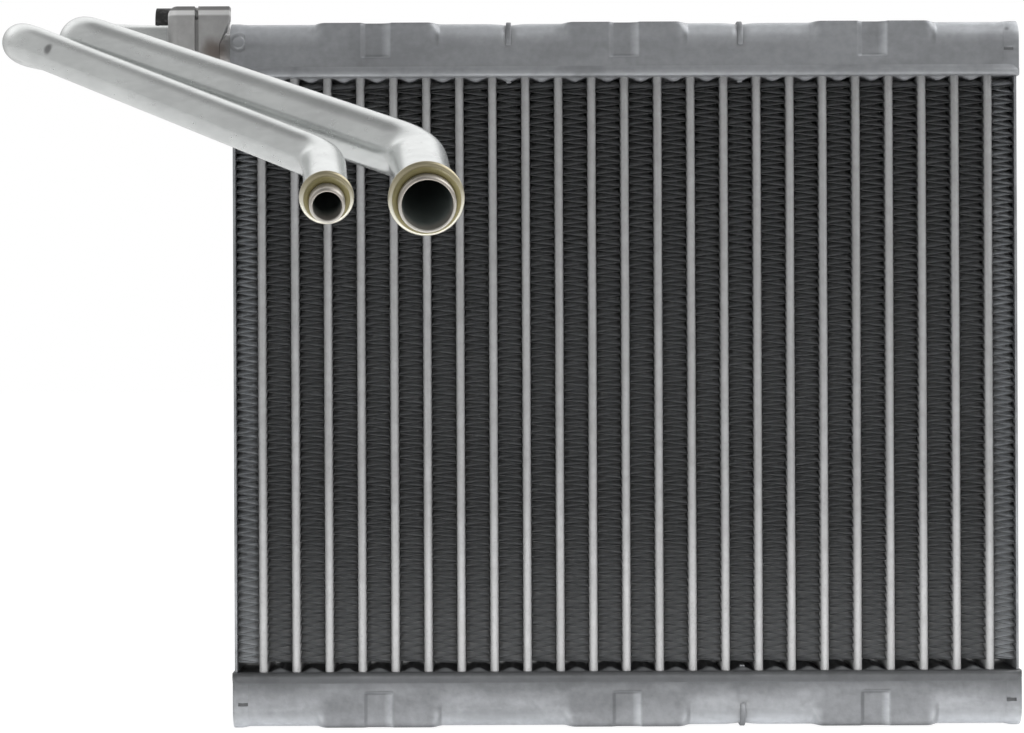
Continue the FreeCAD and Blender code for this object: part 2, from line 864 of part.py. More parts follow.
def bent_line(corners, radii):
    """One wire of straight runs and tangent arcs."""
    edges = []
    last = corners[0]
    for before, corner, after, radius in zip(corners, corners[1:], corners[2:], radii):
        inward = (corner - before).normalize()
        outward = (after - corner).normalize()
        turn = turn_between(inward, outward)
        tangent = radius * math.tan(turn / 2)
        start = corner - inward * tangent
        finish = corner + outward * tangent
        bisector = (outward - inward).normalize()
        middle = corner + bisector * (radius / math.cos(turn / 2) - radius)
        edges.append(Part.LineSegment(last, start).toShape())
        edges.append(Part.Arc(start, middle, finish).toShape())
        last = finish
    edges.append(Part.LineSegment(last, corners[-1]).toShape())
    return Part.Wire(edges)


def swept(line, start, along, radius):
    """A round rod along the line."""
    ring = Part.Wire(Part.makeCircle(radius, start, along))
    return line.makePipe(Part.Face(ring))


def turned_about(point, axis, profile):
    """The solid that a profile of (radius, distance along the axis) sweeps about the axis."""
    across = axis.cross(Vector(0, 0, 1)).normalize()
    points = [point + across * radius + axis * along for radius, along in profile]
    return Part.Face(Part.makePolygon([*points, points[0]])).revolve(point, axis, 360)


def pipe(kind):
    corners, radii, nose = pipe_corners(kind)
    start, end = corners[0], corners[-1]
    line = bent_line(corners, radii)
    along = (corners[1] - start).normalize()
    outside = getattr(dim, f"{kind}_radius").value
    bead = outside + getattr(dim, f"{kind}_bead_rise").value
    tip = outside - getattr(dim, f"{kind}_nose_step").value
    reach = getattr(dim, f"{kind}_nose_reach").value
    edge = dim.bead_edge.value
    thick = dim.bead_length.value
    seat = tip - dim.ring_seat.value
    land = (dim.bead_length + dim.ring_sheet + dim.braze_gap * 2).value
    collar = [
        (0, 0),
        (bead - edge, 0),
        (bead, edge),
        (bead, thick - edge),
        (bead - edge, thick),
        (seat, thick),
        (seat, land),
        (tip, land),
        (tip, reach - edge),
        (tip - edge, reach),
        (0, reach),
    ]
    solid = swept(line, start, along, outside).fuse(turned_about(end, nose, collar))
    inner = swept(line, start, along, outside - dim.pipe_wall.value)
    hole = Part.makeCylinder(tip - dim.nose_wall.value, reach, end, nose)
    feature = doc.addObject("Part::Feature", f"{kind}_pipe")
    feature.Label = f"{kind}_pipe"
    feature.Shape = solid.cut(inner.fuse(hole))
    return feature


def seal_ring(kind):
    """A sealing ring in the groove between the bead and the nose."""
    corners, _, nose = pipe_corners(kind)
    body = new_body(f"{kind}_ring")
    tip = getattr(dim, f"{kind}_radius") - getattr(dim, f"{kind}_nose_step")
    inside = tip - dim.ring_seat + dim.braze_gap
    back = dim.bead_length + dim.braze_gap
    section = box_outline(inside, inside + dim.ring_sheet, back, back + dim.ring_sheet)
    turned_body(body, sketch(body, "section", "XZ_Plane", [section]))
    body.Placement = Placement(corners[-1], Rotation(Vector(0, 0, 1), nose))
    return body


# Assembly

count = int(dim.tube_count.value)
low = {"level": low_header, "turn": UPSIDE_DOWN}
top = {"level": top_header, "turn": Rotation()}
left, right = -partition_x, partition_x

nodes = [tube(number) for number in range(1, count + 1)]
nodes += [fin(number) for number in range(1, count + 2)]
nodes.append(group("side_plates", [side_plate("side_plate_left", -1), side_plate("side_plate_right", 1)]))
nodes.append(header_plate("top_header_plate", [left, right], -1, **top))
nodes.append(header_plate("bottom_header_plate", [right], 1, **low))
nodes.append(tank_cover("top_tank_cover", [left, right], True, **top))
nodes.append(tank_cover("bottom_tank_cover", [right], False, **low))
port_holes = [
    (neck_y, chamber_level, suction_neck + dim.braze_gap),
    (-neck_y, chamber_level, liquid_neck + dim.braze_gap),
]
nodes.append(
    group(
        "end_caps",
        [
            end_cap("end_cap_top_left", port_holes, top_header, END_FOR_END),
            end_cap("end_cap_top_right", [], top_header, Rotation()),
            end_cap("end_cap_bottom_left", [], low_header, UPSIDE_DOWN.multiply(END_FOR_END)),
            end_cap("end_cap_bottom_right", [], low_header, UPSIDE_DOWN),
        ],
    )
)
nodes.append(
    group(
        "partition_plates",
        [
            partition("partition_top_left", -1, False, -1, **top),
            partition("partition_top_right", 1, True, -1, **top),
            partition("partition_bottom", 1, False, 1, **low),
        ],
    )
)
nodes += [port_block(), pipe_flange(), clamp_screw(), pipe("liquid"), pipe("suction")]
nodes.append(group("seal_rings", [seal_ring("liquid"), seal_ring("suction")]))
doc.recompute()

# Checks, before anything is written

for item in doc.Objects:
    if {"Invalid", "Error"} & set(item.State):
        raise RuntimeError(f"{item.Name} failed: {item.State}")
    if item.TypeId == "PartDesign::Pocket":
        if item.Shape.Volume > item.BaseFeature.Shape.Volume - 1e-3:
            raise RuntimeError(f"{item.Name} cuts nothing")
for node in nodes:
    if node.Shape.isNull() or not node.Shape.isValid() or not node.Shape.Solids:
        raise RuntimeError(f"{node.Label} has no valid solid")

os.makedirs("parts", exist_ok=True)
for node in nodes:
    node.Shape.exportStep(f"parts/{node.Label}.step")
print(f"{len(nodes)} nodes, {sum(len(node.Shape.Solids) for node in nodes)} solids")
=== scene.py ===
import math
import random

import bmesh
import bpy
from mathutils import Euler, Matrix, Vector, noise


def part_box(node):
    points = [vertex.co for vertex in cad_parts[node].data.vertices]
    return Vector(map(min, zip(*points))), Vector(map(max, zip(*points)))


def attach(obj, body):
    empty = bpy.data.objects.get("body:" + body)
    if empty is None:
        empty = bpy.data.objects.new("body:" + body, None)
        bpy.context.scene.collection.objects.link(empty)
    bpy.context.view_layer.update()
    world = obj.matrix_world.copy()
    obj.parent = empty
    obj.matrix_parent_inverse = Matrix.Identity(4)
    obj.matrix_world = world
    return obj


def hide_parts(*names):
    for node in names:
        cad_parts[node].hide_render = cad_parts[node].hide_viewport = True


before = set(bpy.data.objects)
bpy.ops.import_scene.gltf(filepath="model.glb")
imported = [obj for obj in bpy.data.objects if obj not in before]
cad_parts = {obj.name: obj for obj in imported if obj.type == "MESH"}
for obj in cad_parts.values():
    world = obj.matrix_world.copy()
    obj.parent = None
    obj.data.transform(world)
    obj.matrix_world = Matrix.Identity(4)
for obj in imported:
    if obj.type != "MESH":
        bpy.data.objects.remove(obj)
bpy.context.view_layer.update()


# Camera
# It stands in front of the core at half its height and a little to the left of its middle, where
# the pipe ends point to, and is turned by the quarter of a degree that the picture leans.

IMAGE_WIDTH = 1024
FOCAL_PIXELS = 2833
SENSOR = 36
CAMERA_PLACE = (-0.03608, -0.9165, 0.1149)
CAMERA_LEAN = math.radians(0.25)

lens = bpy.data.cameras.new("camera")
lens.sensor_width = SENSOR
lens.lens = FOCAL_PIXELS / IMAGE_WIDTH * SENSOR
lens.clip_start = 0.05
lens.clip_end = 50
camera = bpy.data.objects.new("camera", lens)
camera.location = CAMERA_PLACE
camera.rotation_euler = Euler((math.radians(90), CAMERA_LEAN, 0))
bpy.context.collection.objects.link(camera)
bpy.context.scene.camera = camera


# Flat tubes
# Extruded aluminium, flat on both sides and rounded at the front and the rear. They are pushed
# into the slots of both header plates and brazed there, which leaves them pale and matt.

MM = 0.001
PITCH = 10.5
TUBE_COUNT = 23
TUBE_THICKNESS = 2.7
TUBE_DEPTH = 33.0
TUBE_LEVELS = 17
TUBE_DRIFT = 0.05
NOSE_STEPS = 10
SHARP_ANGLE = math.radians(62)


class Shade:
    """A value in a material's node tree that works in sums and products as a number does."""

    def __init__(self, tree, socket=None):
        self.tree = tree
        self.socket = socket

    def node(self, kind, settings=None, inputs=None, output=0):
        """A node of a type, with its settings first, then the values or links of its sockets."""
        made = self.tree.nodes.new(kind)
        for word, value in (settings or {}).items():
            setattr(made, word, value)
        for key, value in (inputs or {}).items():
            if isinstance(value, Shade):
                self.tree.links.new(value.socket, made.inputs[key])
            else:
                made.inputs[key].default_value = value
        return Shade(self.tree, made.outputs[output] if made.outputs else None)

    def maths(self, operation, *values):
        return self.node("ShaderNodeMath", {"operation": operation}, dict(enumerate(values)))

    def __add__(self, other):
        return self.maths("ADD", self, other)

    def __sub__(self, other):
        return self.maths("SUBTRACT", self, other)

    def __mul__(self, other):
        return self.maths("MULTIPLY", self, other)

    def __rsub__(self, other):
        return self.maths("SUBTRACT", other, self)

    __radd__ = __add__
    __rmul__ = __mul__

    def mixed(self, low, high):
        """The colour that lies between low and high by this value."""
        inputs = {0: self, 6: low, 7: high}
        return self.node("ShaderNodeMix", {"data_type": "RGBA"}, inputs, output=2)

    def step(self, start, end):
        """This value brought to 0 at start and 1 at end, with soft ends."""
        settings = {"interpolation_type": "SMOOTHSTEP"}
        return self.node("ShaderNodeMapRange", settings, {0: self, 1: start, 2: end})

    def place(self, stretch=(1, 1, 1)):
        """The place on the object, in metres, stretched along the axes."""
        spot = self.node("ShaderNodeTexCoord", output=3)
        settings = {"operation": "MULTIPLY"}
        return self.node("ShaderNodeVectorMath", settings, {0: spot, 1: stretch})

    def along(self, axis):
        """One coordinate of the place on the object, 0 for X, 1 for Y and 2 for Z."""
        return self.node("ShaderNodeSeparateXYZ", inputs={0: self.place()}, output=axis)

    def away_from(self, x, y, z):
        """The distance from a point given in millimetres."""
        inputs = {0: self.place(), 1: (x * MM, y * MM, z * MM)}
        return self.node("ShaderNodeVectorMath", {"operation": "DISTANCE"}, inputs, output="Value")

    def marked(self, word):
        """The number that the mesh carries under this word at each of its points."""
        return self.node("ShaderNodeAttribute", {"attribute_name": word}, output=2)

    def cloud(self, scale, stretch=(1, 1, 1), detail=3, roughness=0.5):
        """Soft noise from 0 to 1."""
        inputs = {"Vector": self.place(stretch), "Scale": scale, "Detail": detail}
        return self.node("ShaderNodeTexNoise", inputs={**inputs, "Roughness": roughness})

    def dented(self, height, distance):
        """The normal that a bump of this height gives."""
        return self.node("ShaderNodeBump", inputs={"Distance": distance, "Height": height})

    def surface(self, **sockets):
        """The finished surface of the material, by the names of its sockets."""
        inputs = {word.replace("_", " "): value for word, value in sockets.items()}
        skin = self.node("ShaderNodeBsdfPrincipled", inputs=inputs)
        self.node("ShaderNodeOutputMaterial", inputs={"Surface": skin})


def new_finish(name):
    """A new material, and a shade to build it from."""
    finish = bpy.data.materials.new(name)
    finish.use_nodes = True
    finish.node_tree.nodes.clear()
    return finish, Shade(finish.node_tree)


def grey(level, warm=0.0):
    """A grey of this level, a little warmer or cooler."""
    return (level * (1 + warm), level, level * (1 - warm), 1)


def joined_rings(size, count, closed=True, endless=False):
    """Faces from each ring of points to the next, and from the last to the first if endless."""
    faces = []
    total = size * count
    for ring in range(count if endless else count - 1):
        for i in range(size if closed else size - 1):
            a, b = ring * size + i, ring * size + (i + 1) % size
            faces.append((a, b, (b + size) % total, (a + size) % total))
    return faces


def end_faces(size, count):
    """The two faces that close a row of rings at its ends."""
    return [tuple(range(size)), tuple(reversed(range(size * (count - 1), size * count)))]


def new_piece(name, points, faces, finish, node, smooth=True):
    """A piece from points in millimetres, which rides on the core and replaces its CAD node."""
    mesh = bpy.data.meshes.new(name)
    mesh.from_pydata([(x * MM, y * MM, z * MM) for x, y, z in points], [], faces)
    mesh.validate()
    shell = bmesh.new()
    shell.from_mesh(mesh)
    bmesh.ops.recalc_face_normals(shell, faces=shell.faces)
    shell.to_mesh(mesh)
    shell.free()
    if smooth:
        mesh.shade_smooth()
        mesh.set_sharp_from_angle(angle=SHARP_ANGLE)
    mesh.materials.append(finish)
    piece = bpy.data.objects.new(name, mesh)
    bpy.context.collection.objects.link(piece)
    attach(piece, "root")
    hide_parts(node)
    return piece


def tube_finish():
    """Pale matt aluminium, streaked along the tube, with painted light towards its low end."""
    finish, shade = new_finish("tube_aluminium")
    streak = shade.cloud(900, (1, 1, 0.02), detail=2)
    bloom = shade.cloud(260, detail=4, roughness=0.65)
    speck = shade.cloud(1800, detail=1).step(0.62, 0.72)
    tone = (streak * 0.5 + bloom * 0.5).step(0.25, 0.75)
    base = tone.mixed(grey(0.25), grey(0.37, -0.01))
    # Painted light: lighter towards the tube's low end, standing in for the floor's light from below.
    base = (shade.along(2).step(0.09, 0.02) * 0.45).mixed(base, grey(0.56))
    shade.surface(
        Base_Color=(speck * 0.35).mixed(base, grey(0.18)),
        Metallic=0.35,
        Roughness=0.62 - tone * 0.14,
        Normal=shade.dented(streak + bloom, 0.00006),
    )
    return finish


def flat_tube(middle, low, high):
    """One tube as a closed mesh: straight sides, round noses, a slight wander along its length."""
    half, reach = TUBE_THICKNESS / 2, TUBE_DEPTH / 2
    arc = [math.pi * i / NOSE_STEPS for i in range(NOSE_STEPS + 1)]
    front = [(-half * math.cos(a), -reach + half * (1 - math.sin(a))) for a in arc]
    section = front + [(-x, -y) for x, y in front]
    points = []
    for level in range(TUBE_LEVELS):
        z = low + (high - low) * level / (TUBE_LEVELS - 1)
        drift = TUBE_DRIFT * noise.noise(Vector((middle * 0.31, z * 0.03, 1.7)))
        points += [(middle + x + drift, y, z) for x, y in section]
    size = len(section)
    return points, end_faces(size, TUBE_LEVELS) + joined_rings(size, TUBE_LEVELS)


tube_skin = tube_finish()
tube_low, tube_high = (corner[2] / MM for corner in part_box("tube_12"))
for number in range(1, TUBE_COUNT + 1):
    middle = (number - (TUBE_COUNT + 1) / 2) * PITCH
    points, faces = flat_tube(middle, tube_low, tube_high)
    name = f"tube_{number:02d}"
    new_piece(f"{name}_skin", points, faces, tube_skin, name)


# Corrugated fins
# Thin coated sheet folded into waves, one strip in each gap, brazed to the tubes at its crests.
# The coating is mid grey, with painted shade on its cut front edges and beside the tubes, and painted
# light deep inside. The folds wander a little, as on a strip that was pushed in.

WAVE = 2.66
SHEET = 0.11
FIN_REACH = 16.1
FIN_EDGE = 0.7
RIDGE = 2.4
RIDGE_PLACE = 8
FOLD_ROUNDING = 0.28
CREST_SHARE = 0.14
FOLD_DRIFT = 0.13
STRIP_DRIFT = 0.25
STRIP_END = 0.3


def mark(piece, word, values):
    """A number for each point of the piece's mesh, which its material reads."""
    layer = piece.data.attributes.new(word, "FLOAT", "POINT")
    layer.data.foreach_set("value", values)


def fin_finish(name, dark, light):
    """Dull coating, with painted light deep inside, and painted shade beside the tubes and on the cut
    edges.
    """
    finish, shade = new_finish(name)
    cloudy = shade.cloud(120, detail=3)
    dust = shade.cloud(1500, detail=2).step(0.55, 0.75)
    outward = shade.maths("ABSOLUTE", shade.along(1))
    beside = shade.maths("ABSOLUTE", shade.marked("aside")).step(0.45, 1.0)
    base = cloudy.mixed(grey(dark, -0.04), grey(light, -0.03))
    # Painted light deep inside the pack, where little light reaches.
    base = outward.step(0.009, 0.0152).mixed(grey(0.85), base)
    # Painted shade beside the tubes.
    base = (beside * 0.6).mixed(base, grey(0.08))
    # Painted shade on the cut front edges, so that they catch less light.
    base = outward.step(0.0154, 0.0160).mixed(base, grey(0.045, -0.02))
    shade.surface(
        Base_Color=(dust * 0.2).mixed(base, grey(0.22)),
        Roughness=0.7 + cloudy * 0.2,
        Specular_IOR_Level=0.15,
        Normal=shade.dented(shade.cloud(700), 0.0001),
    )
    return finish


def fold_line(middle, width, low, high, wander):
    """The middle line of the folded sheet, seen from the front, as (x, z) points."""
    waves = round((high - low) / WAVE)
    leg = (high - low) / waves / 2
    half = width / 2 - SHEET / 2
    inset = half - FOLD_ROUNDING
    line = [(middle - half, low + STRIP_END)]
    for crest in range(2 * waves + 1):
        side = -1 if crest % 2 else 1
        z = low + crest * leg + wander.uniform(-FOLD_DRIFT, FOLD_DRIFT)
        line += [
            (middle + side * inset, z - leg * CREST_SHARE),
            (middle + side * half, z),
            (middle + side * inset, z + leg * CREST_SHARE),
        ]
    return line + [(middle - half, high - STRIP_END)]


def folded_fin(middle, width, low, high, wander):
    """A folded sheet of real thickness, which rises and falls on its way to the rear."""
    line = fold_line(middle, width, low, high, wander)
    front = [(-FIN_REACH, 0), (-FIN_REACH + FIN_EDGE, 0), (-RIDGE_PLACE, RIDGE)]
    stations = front + [(-y, -rise) for y, rise in reversed(front)]
    over, under = [], []
    for i, (x, z) in enumerate(line):
        before, after = line[max(i - 1, 0)], line[min(i + 1, len(line) - 1)]
        run = Vector((after[0] - before[0], after[1] - before[1])).normalized()
        across = Vector((-run.y, run.x)) * SHEET / 2
        over.append((x + across.x, z + across.y))
        under.append((x - across.x, z - across.y))
    ring = over + under[::-1]
    points = [(x, y, z + rise) for y, rise in stations for x, z in ring]
    size = len(ring)
    faces = joined_rings(size, len(stations))
    last = (len(stations) - 1) * size
    for i in range(len(line) - 1):
        a, b, c, d = i, i + 1, size - 2 - i, size - 1 - i
        faces.append((d, c, b, a))
        faces.append((last + a, last + b, last + c, last + d))
    return points, faces


fin_skin = fin_finish("fin_coating", 0.23, 0.31)
# The outer fins take a much lighter copy of the coating: painted light.
lit_end_fin_skin = fin_finish("end_fin_coating", 0.56, 0.68)
fin_low, fin_high = (corner[2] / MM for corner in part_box("fin_12"))
for number in range(1, TUBE_COUNT + 2):
    name = f"fin_{number:02d}"
    left, right = (corner[0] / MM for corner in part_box(name))
    wander = random.Random(number)
    slack = wander.uniform(-STRIP_DRIFT, STRIP_DRIFT)
    middle, half = (left + right) / 2, (right - left) / 2
    points, faces = folded_fin(middle, right - left, fin_low + slack, fin_high + slack, wander)
    skin = lit_end_fin_skin if number in (1, TUBE_COUNT + 1) else fin_skin
    piece = new_piece(f"{name}_sheet", points, faces, skin, name, smooth=False)
    mark(piece, "aside", [(x - middle) / half for x, y, z in points])


# Side plates
# Flat aluminium sheets that close the outer fins and hold the core together in the furnace.
# They are sheared to length, so their edges are only slightly eased, and left bare.

EASED_ANGLE = math.radians(30)
FLAT_ANGLE = math.radians(1)
WELD = 0.000002
BLACK = (0, 0, 0, 1)
SHEET_TINT = (0.97, 1, 1.045, 1)


def sheet_clouds(shade, scale, stretch):
    """The cloudy tone of brazed sheet, from 0 to 1, and the relief that goes with it."""
    cloudy = shade.cloud(scale, (1, 1, stretch), detail=5, roughness=0.6)
    mottle = shade.cloud(420, detail=3)
    return (cloudy * 0.7 + mottle * 0.3).step(0.32, 0.68), mottle + cloudy


def raised(shade, level, rises):
    """A grey level that gains a share between two heights, from each (start, end, gain): painted light
    by height, painted shade where the gain is below 0.
    """
    for start, end, gain in rises:
        level = level + shade.along(2).step(start, end) * gain
    return level


def sheet_finish(name, dark, light, rises=()):
    """Pressed aluminium sheet after brazing: matt, cloudy grey with flux stains."""
    finish, shade = new_finish(name)
    tone, relief = sheet_clouds(shade, 38, 2.2)
    stain = shade.cloud(75, (1, 1, 0.6), detail=4).step(0.56, 0.7)
    level = raised(shade, dark + tone * (light - dark), rises) * (1 - stain * 0.15)
    shade.surface(
        Base_Color=level.mixed(BLACK, SHEET_TINT),
        Metallic=0.45,
        Roughness=0.6 - tone * 0.12,
        Normal=shade.dented(relief, 0.00012),
    )
    return finish


def eased(name, node, finish, width, segments=2):
    """A copy of a node's mesh with its edges eased, which replaces the node."""
    shell = bmesh.new()
    shell.from_mesh(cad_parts[node].data)
    bmesh.ops.remove_doubles(shell, verts=shell.verts, dist=WELD)
    bmesh.ops.dissolve_limit(shell, angle_limit=FLAT_ANGLE, verts=shell.verts, edges=shell.edges)
    mesh = bpy.data.meshes.new(name)
    shell.to_mesh(mesh)
    shell.free()
    mesh.materials.clear()
    mesh.materials.append(finish)
    piece = bpy.data.objects.new(name, mesh)
    bpy.context.collection.objects.link(piece)
    edge = piece.modifiers.new("eased", "BEVEL")
    edge.width = width * MM
    edge.segments = segments
    edge.limit_method = "ANGLE"
    edge.angle_limit = EASED_ANGLE
    edge.use_clamp_overlap = True
    edge.harden_normals = True
    mesh.shade_smooth()
    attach(piece, "root")
    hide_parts(node)


side_skin = sheet_finish("side_aluminium", 0.17, 0.27)
eased("side_sheets", "side_plates", side_skin, 0.15)


# Header plates
# Trays pressed from thicker sheet, with a slot for each tube, a rounded dome between the slots,
# and a turned-up flange that holds the tank cover while it is brazed.

HEADER_END = 125.2
HEADER_SIDE = 20.0
GAPS = range(-(TUBE_COUNT // 2), TUBE_COUNT // 2)
DOME_HEIGHT = 1.25
DOME_HALF = 3.7
DOME_FLAT = 16.0
DOME_RUNOUT = 1.4
DOME_SHARES = (-1, -0.85, -0.65, -0.45, -0.2, 0, 0.2, 0.45, 0.65, 0.85, 1)
TRAY_FLOOR = 1.5
TRAY_RIM = (
    (1.15, 3.4), (0.95, 2.95), (0.62, 2.5), (0.28, 2.1), (0.06, 1.6), (0, 1.1), (0.16, 0.5), (0.5, 0.1),
)
TRAY_UNDER = (16.2, 16.7, 17.2, 17.6, 19.1)
FLANGE_TOP = 2.6
FLANGE_INNER = 18.82
END_EDGE = 0.4
END_RUN = 2
END_PULL = 0.09
# Painted light in bands by height on the bottom tray's rim.
LOW_RIM_PAINTED_LIGHT = ((0.0174, 0.0155, 0.09), (0.0176, 0.0182, 0.05))


def dome(x, y):
    """How far the header plate bulges towards the core at this place."""
    gap = math.floor(x / PITCH)
    across = abs(x - (gap + 0.5) * PITCH) / DOME_HALF
    along = (abs(y) - DOME_FLAT) / DOME_RUNOUT
    if gap not in GAPS or across >= 1 or along >= 1:
        return 0.0
    fade = 1.0 if along <= 0 else math.cos(along * math.pi / 2) ** 2
    return DOME_HEIGHT * math.cos(across * math.pi / 2) ** 2 * fade


def header_tray():
    """The tray in the tank's own frame, with its core side at z = 0 and the flange up."""
    outline = [(-HEADER_SIDE + inward, z) for inward, z in TRAY_RIM]
    outline += [(-y, 0) for y in reversed(TRAY_UNDER)] + [(y, 0) for y in (-14, 0, 14)]
    outline += [(y, 0) for y in TRAY_UNDER]
    outline += [(-y, z) for y, z in reversed(outline[: len(TRAY_RIM)])]
    inner = [(FLANGE_INNER, FLANGE_TOP), (FLANGE_INNER, TRAY_FLOOR)]
    outline += inner + [(-y, z) for y, z in reversed(inner)]
    left = [-HEADER_END, -HEADER_END + END_EDGE, -HEADER_END + END_RUN]
    stations = left + [(gap + 0.5) * PITCH + DOME_HALF * share for gap in GAPS for share in DOME_SHARES]
    stations += [-x for x in reversed(left)]
    points = []
    for x in stations:
        near_end = max(0.0, abs(x) - (HEADER_END - END_RUN)) / END_RUN
        narrowed = 1 - END_PULL * near_end ** 2
        points += [(x, y * narrowed, z if z > 0 else -dome(x, y)) for y, z in outline]
    size, count = len(outline), len(stations)
    return points, end_faces(size, count) + joined_rings(size, count)


def in_place(points, tank):
    """Points of a tank's own frame, brought to the top tank or turned over for the bottom one."""
    level = tank_levels[tank]
    if tank == "bottom":
        return [(x, -y, level - z) for x, y, z in points]
    return [(x, y, level + z) for x, y, z in points]


tank_levels = {
    "top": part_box("top_header_plate")[1][2] / MM - FLANGE_TOP,
    "bottom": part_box("bottom_header_plate")[0][2] / MM + FLANGE_TOP,
}
# The bottom tray is a much darker copy of the top tray's sheet: painted shade, with painted light in
# bands on its rim.
header_skins = {
    "top": sheet_finish("top_header_aluminium", 0.24, 0.32),
    "bottom": sheet_finish("bottom_header_aluminium", 0.065, 0.09, LOW_RIM_PAINTED_LIGHT),
}
tray, faces = header_tray()
for tank, skin in header_skins.items():
    points = in_place(tray, tank)
    new_piece(f"{tank}_header_tray", points, faces, skin, f"{tank}_header_plate")


# Tank covers
# Channels pressed from aluminium sheet. The long upper edges are well rounded, and three lobes
# square them again, each with a shallow notch in its middle. Slits take the partitions' edges.

COVER_END = 123.8
COVER_SIDE = 18.8
COVER_TOP = 17.4
COVER_LOW = 1.5
COVER_WALL = 1.2
CORNER = 6.0
CORNER_STEPS = 12
WALL_LEVELS = (COVER_LOW, 3.0, 4.8, 5.6, 6.0, 6.4, 6.8, 7.3, 8.0, 8.1, 9.2, 9.3, 10.6)
TOP_PLACES = (-11.5, -9, -6, -3, 0)
LOBE_RISE = 0.15
LOBE_HALF = 20.5
LOBE_RAMP = 4.4
LOBE_PLACES = (-7.5 * PITCH, 0.0, 7.5 * PITCH)
NOTCH_HALF = 4.8
NOTCH_FOOT = 6.4
NOTCH_DEPTH = 1.0
SWELL = 0.12
SWELL_PLACE = 2.6
SWELL_REACH = 1.3
SINK = 0.25
SINK_REACH = 1.4
SAG = 0.45
SAG_REACH = 3.2
BRAZE_REACH = 1.7
FINE_STEP = 0.2
MIDDLE_STEP = 0.55
COARSE_STEP = 2.4
SLIT_PLACES = {"top": (-3.5 * PITCH, 3.5 * PITCH), "bottom": (3.5 * PITCH,)}
# Painted light by height on the tanks: over the top tank's rounding, with painted shade on its very top,
# and towards the floor on the bottom tank.
TANK_PAINTED_LIGHT = {
    "top": ((0.2162, 0.2246, 0.34), (0.2236, 0.2241, -0.2)),
    "bottom": ((0.0155, 0.0075, 0.13), (0.0075, 0.001, 0.42)),
}


def ease(value, start, end):
    """0 before start, 1 past end, and a soft passage between them."""
    part = min(max((value - start) / (end - start), 0.0), 1.0)
    return part * part * (3 - 2 * part)


def hump(value, middle, width):
    """1 in the middle, falling off to both sides like a bell."""
    return math.exp(-(((value - middle) / width) ** 2))


def nearest(x, places):
    """How far x is from the nearest of these places."""
    return min(abs(x - place) for place in places)


def lobe_share(x):
    """1 on a lobe, 0 on the plain cover, and between them on the ramps."""
    return 1 - ease(nearest(x, LOBE_PLACES), LOBE_HALF - LOBE_RAMP, LOBE_HALF)


def notch_share(x):
    """1 in a notch and 0 beside it."""
    return 1 - ease(nearest(x, LOBE_PLACES), NOTCH_HALF - 1.6, NOTCH_HALF + 0.3)


def above_foot(z):
    """0 below the notches' foot and 1 above it."""
    return ease(z, NOTCH_FOOT - 0.35, NOTCH_FOOT + 0.45)


def notch_light_and_shade(x, z):
    """More than 0 for painted light on a notch's right wall and foot, less than 0 for painted shade at a
    lobe's right end.
    """
    place = min(LOBE_PLACES, key=lambda place: abs(x - place))
    on_right = 1.0 if x > place else 0.0
    share, lobe, foot = notch_share(x), lobe_share(x), above_foot(z)
    wall = 4 * share * (1 - share) * foot * on_right + 4 * foot * (1 - foot) * share
    glint_shade = ease(lobe, 0, 0.1) * (1 - ease(lobe, 0.1, 0.6)) * on_right * ease(z, 9.0, 14.0)
    return min(1.0, wall) - 0.8 * glint_shade


def cover_section(x, slits, cut_over):
    """The outside of the cover at x, from the front foot over the top to the rear foot."""
    share, notch = lobe_share(x), notch_share(x)
    near_slit = nearest(x, slits)
    swell = SWELL * hump(near_slit, SWELL_PLACE, SWELL_REACH) - SINK * hump(near_slit, 0, SINK_REACH)
    sag = SAG * hump(near_slit, 0, SAG_REACH)
    power = 2 / (2 + 9 * share ** 1.5)
    rise = LOBE_RISE * share * (1 - (notch if cut_over else 0))
    half = [(-COVER_SIDE, z) for z in WALL_LEVELS]
    for i in range(CORNER_STEPS + 1):
        angle = math.pi / 2 * i / CORNER_STEPS
        out, up = math.cos(angle) ** power, math.sin(angle) ** power
        half.append((-COVER_SIDE + CORNER - CORNER * out, COVER_TOP - CORNER + (CORNER + rise) * up))
    half += [(y, COVER_TOP + rise) for y in TOP_PLACES]
    shaped = []
    for y, z in half:
        y = min(y + NOTCH_DEPTH * notch * above_foot(z), 0)
        z -= sag * ease(z, COVER_TOP - CORNER, COVER_TOP)
        if y < -COVER_SIDE + 2:
            y -= swell * ease(z, 8.5, 11.0)
        shaped.append((y, z))
    return shaped + [(-y, z) for y, z in reversed(shaped[:-1])]


def cover_stations(slits):
    """Where the cover is cut along X: close together where its shape changes."""
    places = {-COVER_END, COVER_END}
    x = -COVER_END
    while x < COVER_END:
        near_lobe = abs(nearest(x, LOBE_PLACES) - (LOBE_HALF - LOBE_RAMP / 2))
        near_notch = abs(nearest(x, LOBE_PLACES) - NOTCH_HALF + 0.4)
        places.add(round(x, 3))
        if near_notch < 1.2:
            x += FINE_STEP
        elif near_lobe < 3.2 or nearest(x, slits) < 4.5:
            x += MIDDLE_STEP
        else:
            x += COARSE_STEP
    return sorted(places)


def tank_cover(slits, cut_over):
    """The outside of a cover in the tank's own frame, open at its feet and its ends."""
    stations = cover_stations(slits)
    sections = [cover_section(x, slits, cut_over) for x in stations]
    points = [(x, y, z) for x, section in zip(stations, sections) for y, z in section]
    return points, joined_rings(len(sections[0]), len(stations), closed=False)


